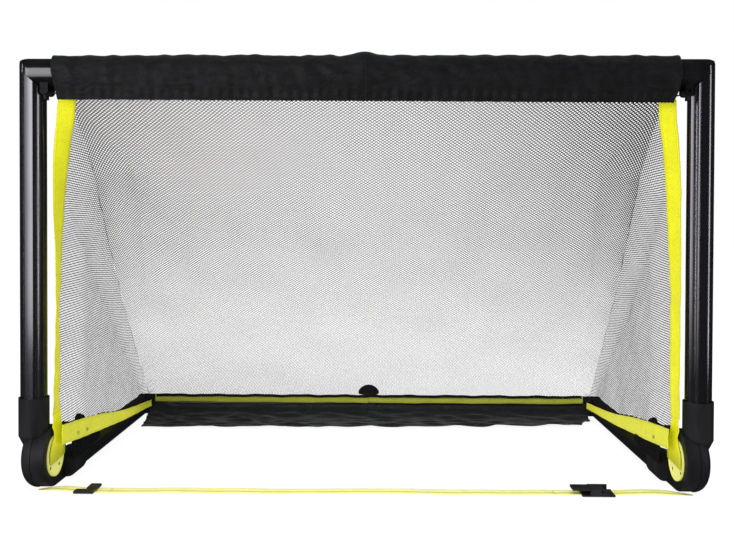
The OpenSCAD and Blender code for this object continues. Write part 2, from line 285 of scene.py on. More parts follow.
def tube_material(name, axis, ior=2.1, rough=0.17):
    """Black anodised aluminium, with fine lines along the extrusion and a little dust."""
    m = Nodes(name)
    p = m.pos()
    long = [260.0, 260.0, 260.0]
    long["xyz".index(axis)] = 2.0
    lines = m.noise(m.scale(p, long), 1.0, 4.0, 0.6)
    broad = m.noise(p, 9.0, 2.0)
    dust = m.ramp(m.noise(p, 420.0, 2.0), [(0.0, 0.0), (0.69, 0.0), (0.74, 1.0)])
    colour = m.mix(lines, (0.0030, 0.0030, 0.0036), (0.0065, 0.0062, 0.0074))
    colour = m.mix(m.math("MULTIPLY", dust, 0.25), colour, (0.06, 0.06, 0.065))
    rough = m.math("ADD", m.span(lines, 0.3, 0.7, rough - 0.03, rough + 0.04), m.span(broad, 0.3, 0.7, -0.03, 0.05))
    m.set(Base_Color=colour, Roughness=rough, Normal=m.bump(lines, 0.25, 0.00012))
    m.b.inputs["IOR"].default_value = ior
    m.b.inputs["Specular IOR Level"].default_value = 0.5
    m.b.inputs["Specular Tint"].default_value = (0.95, 0.93, 1.0, 1)
    return m.mat


def plastic_material(name, colour, rough, grain=1400.0, grain_depth=0.00006, spec=0.5, wear=0.25):
    """Moulded plastic: spark-eroded grain, slight flow marks and scuffs."""
    m = Nodes(name)
    p = m.pos()
    fine = m.noise(p, grain, 3.0, 0.65)
    flow = m.noise(m.scale(p, (1, 1, 0.35)), 22.0, 4.0, 0.55, 0.6)
    scratch = m.ramp(m.noise(m.scale(p, (900, 60, 120), (0.4, 0.9, 0.3)), 1.0, 5.0, 0.7), [(0.0, 0.0), (0.66, 0.0), (0.72, 1.0)])
    hi = tuple(min(1.0, c * 1.55 + 0.004) for c in colour)
    lo = tuple(c * 0.72 for c in colour)
    c = m.mix(m.span(flow, 0.3, 0.7, 0.0, 1.0), lo, hi)
    c = m.mix(m.math("MULTIPLY", scratch, wear), c, tuple(min(1.0, x * 2.6 + 0.012) for x in colour))
    r = m.math("ADD", m.span(flow, 0.3, 0.7, rough - 0.05, rough + 0.06), m.span(fine, 0.3, 0.7, -0.04, 0.04))
    m.set(Base_Color=c, Roughness=r, Normal=m.bump(fine, 0.5, grain_depth))
    m.b.inputs["Specular IOR Level"].default_value = spec
    return m.mat


def dull_below(mat, z, spec, rough_spec):
    """The flat ears under the crossbar have a duller, as moulded face."""
    t = mat.node_tree
    geo = t.nodes.new("ShaderNodeNewGeometry")
    sep = t.nodes.new("ShaderNodeSeparateXYZ")
    mr = t.nodes.new("ShaderNodeMapRange")
    t.links.new(geo.outputs["Position"], sep.inputs[0])
    t.links.new(sep.outputs["Z"], mr.inputs["Value"])
    for k, v in (("From Min", z - 0.0015), ("From Max", z + 0.0015), ("To Min", rough_spec), ("To Max", spec)):
        mr.inputs[k].default_value = v
    t.links.new(mr.outputs["Result"], t.nodes["Principled BSDF"].inputs["Specular IOR Level"])
    return mat


def metal_material(name, colour, rough):
    m = Nodes(name)
    p = m.pos()
    turn = m.noise(m.scale(p, (2500, 300, 2500)), 1.0, 3.0)
    spots = m.noise(p, 300.0, 3.0)
    m.set(Base_Color=m.mix(spots, tuple(c * 0.7 for c in colour), colour), Metallic=1.0,
          Roughness=m.span(turn, 0.3, 0.7, rough - 0.08, rough + 0.1), Normal=m.bump(turn, 0.3, 0.00005))
    return m.mat


def webbing_material(name, colour, width, dark=(0.42, 0.42, 0.0), pitch=0.0013, shade=None):
    """Woven polyester webbing: cross ribs, a faint twill, close selvedges and two stitch rows. uv is in metres."""
    m = Nodes(name)
    u, v, _ = m.split(m.uv())
    p = m.pos()
    rib = m.math("SINE", m.math("MULTIPLY", u, 2 * math.pi / pitch))
    warp = m.math("SINE", m.math("MULTIPLY", v, 2 * math.pi / 0.00165))
    twill = m.math("SINE", m.math("ADD", m.math("MULTIPLY", u, 2 * math.pi / 0.0052), m.math("MULTIPLY", v, 2 * math.pi / 0.0034)))
    weave = m.math("ADD", m.math("MULTIPLY", rib, warp), m.math("MULTIPLY", twill, 0.35))
    edge = m.math("ABSOLUTE", m.math("SUBTRACT", v, width / 2))
    selvedge = m.span(edge, width / 2 - 0.0022, width / 2 - 0.0002, 0.0, 1.0)
    line = m.math("SUBTRACT", 1.0, m.span(m.math("ABSOLUTE", m.math("SUBTRACT", edge, width / 2 - 0.004)), 0.0003, 0.0008, 0.0, 1.0))
    dash = m.span(m.math("SINE", m.math("MULTIPLY", u, 2 * math.pi / 0.0042)), -0.5, -0.2, 0.0, 1.0)
    stitch = m.math("MULTIPLY", line, dash)
    tone = m.noise(p, 26.0, 3.0, 0.6)
    fine = m.noise(p, 900.0, 2.0)
    c = m.mix(m.span(weave, -1.2, 1.2, 0.0, 0.80), colour, tuple(0.74 * a + 0.26 * b for a, b in zip(colour, dark)))
    c = m.mix(m.span(tone, 0.3, 0.7, 0.0, 0.16), c, dark)
    c = m.mix(m.math("MULTIPLY", selvedge, 0.30), c, dark)
    c = m.mix(m.math("MULTIPLY", stitch, 0.55), c, dark)
    speck = m.ramp(m.noise(m.scale(p, (520, 520, 340)), 1.0, 2.0, 0.6), [(0.0, 0.0), (0.54, 0.0), (0.66, 1.0)])
    c = m.mix(m.math("MULTIPLY", speck, 0.42), c, dark)
    if shade is not None:                      # a lengthwise fold line, with painted shade along it
        painted_fold_shade = m.math("SUBTRACT", 1.0, m.span(m.math("ABSOLUTE", m.math("SUBTRACT", v, shade)), 0.0012, 0.0030, 0.0, 1.0))
        c = m.mix(m.math("MULTIPLY", painted_fold_shade, 0.75), c, (0.46, 0.44, 0.015))
    h = m.math("ADD", m.math("MULTIPLY", weave, 0.5), m.math("ADD", m.math("MULTIPLY", stitch, 0.8), m.math("MULTIPLY", fine, 0.5)))
    m.set(Base_Color=c, Roughness=m.span(fine, 0.3, 0.7, 0.62, 0.82), Normal=m.bump(h, 0.55, 0.00022))
    m.b.inputs["Specular IOR Level"].default_value = 0.25
    m.b.inputs["Sheen Weight"].default_value = 0.15
    return m.mat


def tongue_material(name, colour):
    """The band's end, pressed flat over the disc: smooth, with painted shade turning its lower end olive."""
    m = Nodes(name)
    u, v, _ = m.split(m.uv())
    p = m.pos()
    fine = m.noise(p, 700.0, 3.0, 0.6)
    cloud = m.noise(p, 60.0, 2.0)
    # painted shade: the lower end, where the band dips into the hub, darkens to olive
    painted_shade_fade = m.span(m.math("ADD", u, m.math("MULTIPLY", cloud, 0.010)), 0.052, 0.094, 0.0, 0.85)
    c = m.mix(painted_shade_fade, colour, (0.34, 0.34, 0.012))
    c = m.mix(m.span(fine, 0.4, 0.7, 0.0, 0.30), c, tuple(0.6 * x for x in colour))
    m.set(Base_Color=c, Roughness=m.span(fine, 0.3, 0.7, 0.45, 0.62), Normal=m.bump(fine, 0.4, 0.0001))
    m.b.inputs["Specular IOR Level"].default_value = 0.3
    return m.mat


def sleeve_material(name, sheen=0.06, base=0.0048, crumple=1.0, rough=0.56, spec=0.17):
    """Black woven nylon: plain weave, crumple creases with painted shade in their hollows and a painted bluish sheen on
    their ridges, and a cool sheen. uv is in metres.
    """
    m = Nodes(name)
    uv = m.uv()
    u, v, _ = m.split(uv)
    p = m.pos()
    a = m.math("SINE", m.math("MULTIPLY", u, 2 * math.pi / 0.0011))
    b = m.math("SINE", m.math("MULTIPLY", v, 2 * math.pi / 0.0011))
    weave = m.math("MULTIPLY", a, b)
    crease = m.noise(m.scale(p, (26, 60, 60), (0.0, 0.5, 0.0)), 1.0, 6.0, 0.62, 1.4)
    big = m.noise(m.scale(p, (10, 24, 24)), 1.0, 3.0, 0.5, 0.8)
    fuzz = m.noise(p, 1500.0, 2.0)
    # painted shade and sheen: the colour goes from lo in the creases' hollows to a lighter, bluer hi on their raised
    # ridges
    lo = (base * 0.55, base * 0.57, base * 0.62)
    hi = (base * 1.9, base * 2.0, base * 2.25)
    c = m.mix(m.span(crease, 0.32, 0.7, 0.0, 1.0), lo, hi)
    c = m.mix(m.span(weave, -1, 1, 0.0, 0.5), c, (base * 0.4, base * 0.4, base * 0.45))
    c = m.mix(m.ramp(fuzz, [(0.0, 0.0), (0.70, 0.0), (0.76, 0.45)]), c, (0.06, 0.06, 0.065))
    n1 = m.bump(m.math("ADD", m.math("MULTIPLY", crease, 1.0), m.math("MULTIPLY", big, 0.6)), 0.55 * crumple, 0.004)
    n2 = m.bump(weave, 0.35, 0.00010, n1)
    m.set(Base_Color=c, Roughness=m.span(crease, 0.3, 0.7, rough + 0.08, rough - 0.10), Normal=n2)
    m.b.inputs["Specular IOR Level"].default_value = spec
    m.b.inputs["Sheen Weight"].default_value = sheen
    m.b.inputs["Sheen Roughness"].default_value = 0.45
    m.b.inputs["Sheen Tint"].default_value = (0.55, 0.62, 0.70, 1)
    return m.mat


def net_material(name, k=1.0):
    """Knitted polyester yarn, a little lighter where the filaments lie open."""
    m = Nodes(name)
    p = m.pos()
    yarn = m.noise(p, 1300.0, 3.0, 0.6)
    broad = m.noise(p, 7.0, 3.0, 0.5)
    c = m.mix(m.span(yarn, 0.3, 0.7, 0.0, 1.0), (0.005 * k, 0.005 * k, 0.0055 * k), (0.016 * k, 0.016 * k, 0.018 * k))
    c = m.mix(m.span(broad, 0.35, 0.65, 0.0, 0.4), c, (0.020 * k, 0.020 * k, 0.023 * k))
    m.set(Base_Color=c, Roughness=m.span(yarn, 0.3, 0.7, 0.55, 0.75), Normal=m.bump(yarn, 0.4, 0.0002))
    m.b.inputs["Specular IOR Level"].default_value = 0.15
    return m.mat


def disc_material(name):
    """Pale yellow moulded cover, with a fine grain and a cloudy tone."""
    m = Nodes(name)
    p = m.pos()
    grain = m.noise(p, 900.0, 3.0, 0.6)
    cloud = m.noise(p, 40.0, 3.0, 0.5)
    c = m.mix(m.span(cloud, 0.3, 0.7, 0.0, 1.0), (0.93, 0.93, 0.20), (0.98, 0.98, 0.34))
    m.set(Base_Color=c, Roughness=m.span(grain, 0.3, 0.7, 0.34, 0.46), Normal=m.bump(grain, 0.4, 0.00008))
    m.b.inputs["Specular IOR Level"].default_value = 0.45
    return m.mat


M = {
    "tube_x": tube_material("tube_x", "x"),
    "tube_y": tube_material("tube_y", "y", 1.6, 0.36),
    "tube_z": tube_material("tube_z", "z"),
    "moulding": plastic_material("moulding", (0.0092, 0.0093, 0.0115), 0.52, spec=0.20),
    "gloss": plastic_material("gloss_moulding", (0.0022, 0.0022, 0.0026), 0.15, 500.0, 0.00002, 0.95, 0.10),
    "gloss_end": dull_below(plastic_material("gloss_end", (0.0022, 0.0022, 0.0026), 0.15, 500.0, 0.00002, 0.95, 0.10), 0.7135, 0.95, 0.06),
    "pin": metal_material("pin", (0.022, 0.022, 0.024), 0.50),
    "disc": disc_material("disc"),
    "screw": plastic_material("screw", (0.010, 0.010, 0.011), 0.38, 1800.0, 0.00004, 0.5, 0.5),
    "sleeve": sleeve_material("sleeve_cloth", 0.09, 0.0046, 1.25, 0.52, 0.22),
    "net": net_material("net"),
    # the side net is the net made 10% lighter: painted light, for side panels lit from the white floor
    "net_side": net_material("net_side", 1.1),
    "band": webbing_material("band", (0.88, 0.87, 0.010), 0.030),
    "base_band": webbing_material("base_band", (0.86, 0.86, 0.005), 0.035),
    "tongue": tongue_material("tongue", (0.90, 0.89, 0.012)),
    # the rear webbing's dull yellow-green is its own lime colour, darkened with painted shade for where it sits low
    # behind the net
    "rear": webbing_material("rear_webbing", (0.47, 0.52, 0.05), 0.018, (0.16, 0.19, 0.01), 0.0052),
    "rivet": plastic_material("rivet", (0.52, 0.48, 0.16), 0.45, 900.0, 0.00004, 0.5, 0.3),
    "flap": sleeve_material("flap_cloth", 0.22, 0.0085, 1.2, 0.34, 0.45),
    # the strap's paler, whiter yellow is painted light, for its upward face under the top light; shade= adds a painted
    # shade line along a fold
    "strap": webbing_material("strap", (1.0, 1.0, 0.40), 0.025, (0.80, 0.78, 0.05), shade=0.0075),
    "buckle": plastic_material("buckle", (0.014, 0.014, 0.016), 0.42, 1200.0, 0.00006, 0.5, 0.3),
    "tab": sleeve_material("tab_cloth", 0.02, 0.0035, 0.6, 0.7),
    "thread": plastic_material("thread", (0.045, 0.046, 0.050), 0.7, 2500.0, 0.0001, 0.3, 0.1),
}


def give(mat, *names):
    for n in names:
        for side in ("_left", "_right", ""):
            if n + side in nodes:
                me = nodes[n + side].data
                if not len(me.materials):
                    me.materials.append(mat)
                for i in range(len(me.materials)):
                    me.materials[i] = mat


give(M["tube_z"], "upright_tube")
give(M["tube_x"], "crossbar_tube", "rear_bar")
give(M["tube_y"], "side_bar")
give(M["moulding"], "crossbar_hinge", "upright_socket", "base_knuckle", "side_bar_plug", "rear_hinge")
give(M["moulding"], "upright_plug")
give(M["gloss_end"], "crossbar_end")
give(M["gloss"], "rear_bar_end", "rear_hinge_cap")
give(M["pin"], "corner_pin", "crossbar_hinge_pin", "hub_axle", "rear_corner_pin", "rear_hinge_pin", "buckle_pin")
give(M["disc"], "hub_disc")
give(M["screw"], "hub_screws")
give(M["rivet"], "band_rivets")
give(M["buckle"], "strap_slider", "buckle_base", "buckle_lever")

SIDES = (("left", -1), ("right", 1))


# front edge bands: face the mouth at the top, and turn side-on lower down
def edge_rows(sg, rows, top, foot):
    """Rows (z, outer, inner), in mm seen in a plane 10 mm behind the uprights' axes, to edges 30 mm apart in space."""
    out = list(top)
    for z, xo, xi in rows:
        yo = -0.003 + 0.003 * min(1.0, (0.69 - z) / 0.12)
        place = lambda x, y: 0.0265 + (x / 1000 - 0.0265) * (1.4922 + y) / 1.5022
        a = place(sg * xo, yo)
        y = 0.02
        for _ in range(12):
            b = place(sg * xi, y)
            y = yo + math.sqrt(max(0.030 ** 2 - (b - a) ** 2, 1e-6))
        out.append((z, a, yo, b, y))
    return out + list(foot)


LEFT_EDGE = edge_rows(-1, [(0.646, 542.5, 510.5), (0.611, 546, 516.5), (0.576, 548, 521), (0.541, 548.5, 525), (0.506, 548.3, 528), (0.471, 547, 530.5),
                           (0.435, 545.5, 532.5), (0.400, 544.5, 534), (0.365, 543.7, 535.3), (0.330, 543.7, 536.8), (0.294, 544, 538.5), (0.259, 544.5, 537.6),
                           (0.224, 546, 537), (0.188, 547.3, 537), (0.153, 547.7, 539)],
                      [(0.682, -0.5345, -0.003, -0.5040, 0.000)], [(0.128, -0.5475, 0.004, -0.5455, 0.036)])
RIGHT_EDGE = edge_rows(1, [(0.648, 541.7, 510.8), (0.613, 545, 516), (0.578, 547.5, 520), (0.544, 549.2, 522.3), (0.509, 550, 524.3), (0.474, 550.2, 526.2),
                           (0.439, 550.5, 528.2), (0.405, 550.8, 530), (0.370, 551, 531.7), (0.335, 550.8, 532.6), (0.290, 550.6, 533), (0.230, 550.5, 533),
                           (0.160, 550.5, 534)],
                       [(0.682, 0.5360, -0.003, 0.5062, 0.000)], [(0.128, 0.5490, 0.004, 0.5440, 0.034)])


# ------------------------------------------------------------------ the net
TOP = np.array([0.020, 0.690])        # y, z of the back panel's upper edge
FOOT = np.array([0.5735, 0.046])      # and of its foot, on the rear bar
SLOPE = FOOT - TOP
SLOPE_L = float(np.linalg.norm(SLOPE))
SLOPE_D = SLOPE / SLOPE_L
SAG_N = np.array([-SLOPE_D[1], SLOPE_D[0]]) * -1.0   # down and forward
HX, HY = 0.0038, 0.00287              # half diagonals of a diamond


def crease_x(s):
    """Half width of the back panel, s from 0 at the top to 1 at the foot."""
    return path_interp(s, [(0, 0.5215), (0.08, 0.5240), (0.22, 0.5315), (0.5, 0.5345), (1.0, 0.5330)])[..., 0]


def crease_a(s):
    """Where the cloth turns the corner from the back into the side, in the cloth's own metres: the knit is stretched
    wide under the sleeve and less towards the foot."""
    return path_interp(s, [(0, 0.4960), (0.12, 0.5180), (0.24, 0.5335), (0.36, 0.5450), (0.55, 0.5550), (0.75, 0.5597), (1.0, 0.5610)])[..., 0]


def back_point(a, b):
    """a from -1 to 1 across, b from 0 to 1 down the slope: (n, 3) points."""
    x = a * crease_x(b)
    hang = 4 * b * (1 - b)
    sag = 0.030 * hang * (1 - 0.55 * np.abs(a) ** 3) + 0.0022 * waves(x, b * SLOPE_L, 5, 0.22) * hang ** 0.5
    pucker = 0.0012 * np.sin(x * 2 * math.pi / 0.021) * np.exp(-b * SLOPE_L / 0.02)
    q = TOP + np.outer(b, SLOPE) + np.outer(sag + pucker, SAG_N)
    return np.stack([x + 0.0010 * waves(x, b * SLOPE_L, 9, 0.12), q[:, 0], q[:, 1]], 1)


def clip_line(p, d, poly):
    """The stretch of p + t d inside a convex polygon with corners in turn, anticlockwise."""
    lo, hi = -1e9, 1e9
    for i in range(len(poly)):
        e = poly[(i + 1) % len(poly)] - poly[i]
        n = np.array([-e[1], e[0]])
        num, den = n @ (poly[i] - p), n @ d
        if abs(den) < 1e-12:
            if num > 0:
                return None
        elif den > 0:
            lo = max(lo, num / den)
        else:
            hi = min(hi, num / den)
    return (lo, hi) if hi - lo > 0.2 else None


def strands(name, poly, to3d, width, mat, step=2.0, flat=1.0):
    """A diamond mesh of thin yarns over a convex polygon in cloth coordinates (metres)."""
    poly = np.array(poly, float)
    lo, hi = poly.min(0), poly.max(0)
    verts, faces, caps, base, length, area = [], [], [], 0, 0.0, 0.0
    slope = HX / HY
    for sgn in (1, -1):
        d = np.array([sgn * HX, HY])
        a0 = lo[0] - (hi[1] * slope if sgn > 0 else -lo[1] * slope)
        a1 = hi[0] - (lo[1] * slope if sgn > 0 else -hi[1] * slope)
        for k in range(math.floor(a0 / (2 * HX)), math.ceil(a1 / (2 * HX)) + 1):
            p = np.array([k * 2 * HX, 0.0])
            r = clip_line(p, d, poly)
            if r is None:
                continue
            n = max(1, int(math.ceil((r[1] - r[0]) / step)))
            t = np.linspace(r[0], r[1], n + 1)
            ab = p + np.outer(t, d)
            P = to3d(ab)
            e = 1e-3
            A = to3d(ab + np.array([e, 0]))
            B = to3d(ab + np.array([0, e]))
            nor = np.cross(A - P, B - P)
            nor /= np.linalg.norm(nor, axis=1)[:, None] + 1e-15
            tan = np.gradient(P, axis=0)
            tan /= np.linalg.norm(tan, axis=1)[:, None] + 1e-15
            side = np.cross(nor, tan)
            rad = width(ab, sgn) * 0.6
            for ang in (90, 210, 330):
                c, s = math.cos(math.radians(ang)), math.sin(math.radians(ang))
                verts.append(P + (side * c + nor * s * flat * sgn) * rad[:, None])
            m = n + 1
            i = np.arange(n)
            for j in range(3):
                j2 = (j + 1) % 3
                q = np.stack([base + j * m + i, base + j2 * m + i, base + j2 * m + i + 1, base + j * m + i + 1], 1)
                faces.append(q)
            caps += [[base, base + 2 * m, base + m], [base + n, base + m + n, base + 2 * m + n]]
            base += 3 * m
            ln = float(np.linalg.norm(np.diff(P, axis=0), axis=1).sum())
            length += ln
            # half of the yarn's surface: that of a flattened three-sided section
            area += ln * float(rad.mean()) * (1.732 + 2 * math.hypot(0.866, 1.5 * flat)) / 2
    V = np.concatenate(verts)
    F = np.concatenate(faces).tolist() + caps
    ob = build(name, V, F, mat, smooth=False)
    return ob, area


A0 = 0.561                             # half width that the cloth is cut to, at its foot
CUTS = [0.0, 0.12, 0.24, 0.36, 0.55, 0.75, 1.0]


FOOT_Z = ([0.0, 0.09, 0.205, 0.336, 0.49, 0.575], [0.108, 0.100, 0.0845, 0.0632, 0.0465, 0.0425])


def corner_yz(b):
    """Height and depth of the rounded corner between back and side, b in metres down the slope."""
    q = back_point(np.ones_like(b), np.clip(b / SLOPE_L, 0, 1))
    return q[:, 1], q[:, 2]


def reach(b):
    """How far the side goes on from the corner at b: to the front edge, or to the foot."""
    b = np.atleast_1d(np.asarray(b, float))
    y, z = corner_yz(b)
    t = np.maximum((y - 0.024) / 0.758, 0.0)
    lo, hi = np.zeros_like(t), t.copy()
    for _ in range(30):
        mid = (lo + hi) / 2
        above = z - 0.652 * mid > np.interp(y - 0.758 * mid, *FOOT_Z)
        lo, hi = np.where(above, mid, lo), np.where(above, hi, mid)
    return lo


ROW_B = np.linspace(0, SLOPE_L, 240)
ROW_R = np.minimum(0.095 - 0.065 * np.clip((ROW_B - 0.25) / 0.55, 0, 1), 0.80 * reach(ROW_B)) + 1e-5


def turn(ab):
    """Round the corner: how far out the cloth lies, how far forward of the back's plane, and the corner's radius."""
    a, b = np.abs(ab[:, 0]), ab[:, 1]
    s = np.clip(b / SLOPE_L, 0, 1)
    ac, xc = crease_a(s), crease_x(s)
    x0 = np.minimum(a, ac) / ac * xc
    t0 = np.maximum(a - ac, 0.0)
    r = np.interp(b, ROW_B, ROW_R)
    v = x0 - xc + t0
    ang = (np.clip(v / r, -1, 1) + 1) * math.pi / 4
    inside = np.abs(v) < r
    return np.where(inside, xc - r + r * np.sin(ang), x0), np.where(inside, r - r * np.cos(ang), t0), r, xc, s


def back3d(ab):
    x, t, r, xc, s = turn(ab)
    q = back_point(np.sign(ab[:, 0]) * np.clip(x / xc, 0, 1), s)
    return q + np.stack([0 * t, -0.758 * t, -0.652 * t], 1)


def back_width(ab, sgn):
    """Yarn width: the knit is denser near the sleeve and towards the sides, and one way of the yarns shows more there."""
    s = np.clip(ab[:, 1] / SLOPE_L, 0, 1)
    x = ab[:, 0] / A0
    k = path_interp(s, [(0, 0.47, 0.33, 0.06), (0.05, 0.46, 0.31, 0.06), (0.35, 0.410, 0.17, 0.030),
                        (0.7, 0.275, 0.09, 0.0), (0.95, 0.280, 0.05, -0.07), (1.0, 0.285, 0.05, -0.07)])
    share = np.clip(k[:, 0] + k[:, 1] * x * x + k[:, 2] * x, 0.1, 0.74)
    return 2 * (1 - np.sqrt(1 - share)) / (502 + 120 * s) * (1 + 0.14 * sgn * x)


for side, sg in SIDES:
    ac = [float(crease_a(np.array([c]))[0]) for c in CUTS]
    edge = [(sg * a, c * SLOPE_L) for a, c in zip(ac, CUTS)]
    poly = [(0, 0)] + edge + [(0, SLOPE_L)]
    if sg < 0:
        poly = poly[::-1]
    net, area = strands("back_net_" + side, poly, back3d, back_width, M["net"])
    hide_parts("back_net_" + side)
    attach(net, "crossbar_" + side)
    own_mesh(net)


def side_point(sg, ab, t=None, b=None, yc=None):
    """Side panel: a is y, b is height below z 0.69, both in metres. t and b are the place in the cloth, from the corner."""
    y, z = ab[:, 0], 0.69 - ab[:, 1]
    s = np.clip((y - TOP[0]) / SLOPE[0], 0, 1)
    if t is not None:
        s = np.clip(b / SLOPE_L, 0, 1)
    x = crease_x(s)
    rows = sorted((r[0], abs(r[3]), r[4]) for r in (LEFT_EDGE if sg < 0 else RIGHT_EDGE))
    rows = [(0.04, 0.5400, 0.036)] + [(a, b + 0.0035, c + 0.0015) for a, b, c in rows] + [(0.70, 0.5200, 0.004)]
    edge = path_interp(z, rows)
    room = 0.11 if t is None else np.clip(yc - 0.024, 0.004, 0.11)
    w = np.clip((y - 0.024) / room, 0, 1)
    w = w * w * (3 - 2 * w)
    x = edge[..., 0] * (1 - w) + x * w
    calm = np.clip((y - 0.024) / 0.08, 0, 1)
    front = 1.0
    if t is not None:
        near = np.clip(t / 0.05, 0, 1)
        x = x + 0.0010 * waves(crease_x(s), b, 9, 0.12) * (1 - near)
        calm = calm * near
        front = np.clip(t / np.maximum((yc - 0.024) / 0.758, 0.004), 0, 1)
    x = x + calm * (0.0011 * waves(y, z, 21 + sg, 0.20) + 0.0004 * waves(y, z, 31 + sg, 0.06))
    yy = y + (edge[..., 1] - 0.024) * np.clip(1 - (y - 0.024) / 0.14, 0, 1) ** 2 * front
    zz = z + 0.0012 * waves(y, z, 41 + sg, 0.12) * (1.0 if t is None else near)
    return np.stack([sg * x, yy, zz], 1)


def side3d(sg):
    """The cloth goes on round the corner: a beyond the crease is a distance forward and down."""
    def at(ab):
        x, t, r, xc, s = turn(ab)
        y, z = corner_yz(ab[:, 1])
        q = side_point(sg, np.stack([y - 0.758 * t, 0.69 - (z - 0.652 * t)], 1), np.maximum(t - 0.293 * r, 0), ab[:, 1], y - 0.222 * r)
        q[:, 0] += sg * (x - xc)
        return q
    return at


def side_width(ab, sgn):
    """The level yarns show more than the upright ones."""
    s = np.clip(ab[:, 1] / SLOPE_L, 0, 1)
    t = np.maximum(np.abs(ab[:, 0]) - crease_a(s), 0.0)
    y = corner_yz(ab[:, 1])[0] - 0.758 * t
    close = np.exp(-t / 0.035) * np.clip(1.1 - s / 0.7, 0, 1)
    front = np.clip(1 - (y - 0.03) / 0.12, 0, 1)
    level = sgn * np.sign(ab[:, 0]) < 0
    return np.where(level, 0.00125 + 0.00024 * front + 0.00030 * close, 0.00112 - 0.00040 * front + 0.00030 * close)


for side, sg in SIDES:
    # slices down the corner, each a convex cut
    bs = [0.012, 0.11, 0.21, 0.31, 0.41, 0.452, 0.50, 0.58, 0.67, 0.76, 0.845]
    tf = reach(np.array(bs))
    ac = crease_a(np.array(bs) / SLOPE_L)
    area, pieces = 0.0, []
    for i in range(len(bs) - 1):
        poly = [(sg * ac[i], bs[i]), (sg * (ac[i] + tf[i]), bs[i]), (sg * (ac[i + 1] + tf[i + 1]), bs[i + 1]), (sg * ac[i + 1], bs[i + 1])]
        if sg < 0:
            poly = poly[::-1]
        ob, a = strands("slice", poly, side3d(sg), side_width, M["net_side"], 2.0, 0.40)
        pieces.append(ob)
        area += a
    # folded hem along the foot, behind the base band
    yy = np.linspace(0.030, 0.556, 60)
    zf = np.interp(yy, *FOOT_Z)
    rear = np.clip((yy - 0.40) / 0.15, 0, 1)
    low = side_point(sg, np.stack([yy, 0.69 - (zf - 0.019 + 0.016 * np.clip((yy - 0.33) / 0.15, 0, 1))], 1))
    top = side_point(sg, np.stack([yy, 0.69 - (zf + 0.002 + 0.009 * rear + 0.0012 * np.sin(yy * 190))], 1))
    V, F = grid(np.stack([low, (low + top) / 2, top], 1))
    hem = build("hem", V, F, M["net_side"], smooth=False)
    thicken(hem, 0.0012)
    pieces.append(hem)
    area += 0.53 * 0.018
    dst = pieces[0]
    for ob in bpy.context.selected_objects:
        ob.select_set(False)
    for ob in pieces:
        ob.select_set(True)
    bpy.context.view_layer.objects.active = dst
    bpy.ops.object.join()
    dst.name = "soft_side_net_" + side
    dst.data.name = dst.name
    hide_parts("side_net_" + side)
    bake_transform(dst)


# ------------------------------------------------------------------ webbing
def ribbon(name, stations, width, mat, n=160, across=9, thick=0.0012, curl=0.0, bow=0.0, seed=1):
    """Flat webbing from stations (t, x1, y1, z1, x2, y2, z2): its two edges at each place along it."""
    st = np.array(stations, float)
    t = np.linspace(st[0, 0], st[-1, 0], n)
    e = path_interp(t, st)
    a, b = e[:, :3], e[:, 3:6]
    v = np.linspace(0, 1, across)
    P = a[:, None, :] * (1 - v)[None, :, None] + b[:, None, :] * v[None, :, None]
    mid = (a + b) / 2
    s = np.concatenate([[0], np.cumsum(np.linalg.norm(np.diff(mid, axis=0), axis=1))])
    tan = np.gradient(mid, axis=0)
    nor = np.cross(tan, b - a)
    nor /= np.linalg.norm(nor, axis=1)[:, None] + 1e-12
    shape = bow * (1 - (2 * v - 1) ** 2)
    ripple = curl * waves(s[:, None] + 0 * v[None, :], v[None, :] * width + 0 * s[:, None], seed, 0.07)
    P = P + nor[:, None, :] * (shape[None, :, None] + ripple[:, :, None])
    uv = np.stack([np.repeat(s, across), np.tile(v * width, n)], 1)
    V, F = grid(P)
    ob = build(name, V, F, mat, smooth=True, uv=uv)
    thicken(ob, thick)
    return ob, float(s[-1])


BANDS = {}
for side, sg in SIDES:
    rows = LEFT_EDGE if sg < 0 else RIGHT_EDGE
    st = [(0.70 - z, xo, yo, z, xi, yi, z) for z, xo, yo, xi, yi in rows]
    ob, ln = ribbon("edge_band_" + side, st, 0.030, M["band"], n=260, bow=0.0008, curl=0.0007, seed=3 + sg)
    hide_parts(ob.name[5:])
    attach(ob, side + "_upright")
    BANDS[side] = ob

# tongues: the bands go on down over the cover discs, wider and dished
for side, sg in SIDES:
    shape = [(0.130, 0.004, 0.130, 0.036, 0.5475, 0.5455), (0.119, 0.0055, 0.119, 0.0350, 0.5472, 0.5452), (0.1085, 0.0010, 0.1080, 0.0375, 0.5468, 0.5450),
             (0.098, 0.0030, 0.097, 0.0410, 0.5450, 0.5442), (0.0885, -0.0010, 0.0875, 0.0435, 0.5440, 0.5436), (0.078, -0.0110, 0.077, 0.0460, 0.5434, 0.5432),
             (0.066, -0.0170, 0.066, 0.0492, 0.5433, 0.5431), (0.056, -0.0178, 0.058, 0.0498, 0.5434, 0.5432), (0.0445, -0.0165, 0.0505, 0.0500, 0.5437, 0.5435)]
    st = [(i / 8, sg * xf, yf, zf, sg * xr, yr, zr) for i, (zf, yf, zr, yr, xf, xr) in enumerate(shape)]
    ob, ln = ribbon("tongue_" + side, st, 0.055, M["tongue"], n=72, across=21, bow=0.0010, curl=0.0003, seed=11 + sg, thick=0.0010)
    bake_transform(ob)

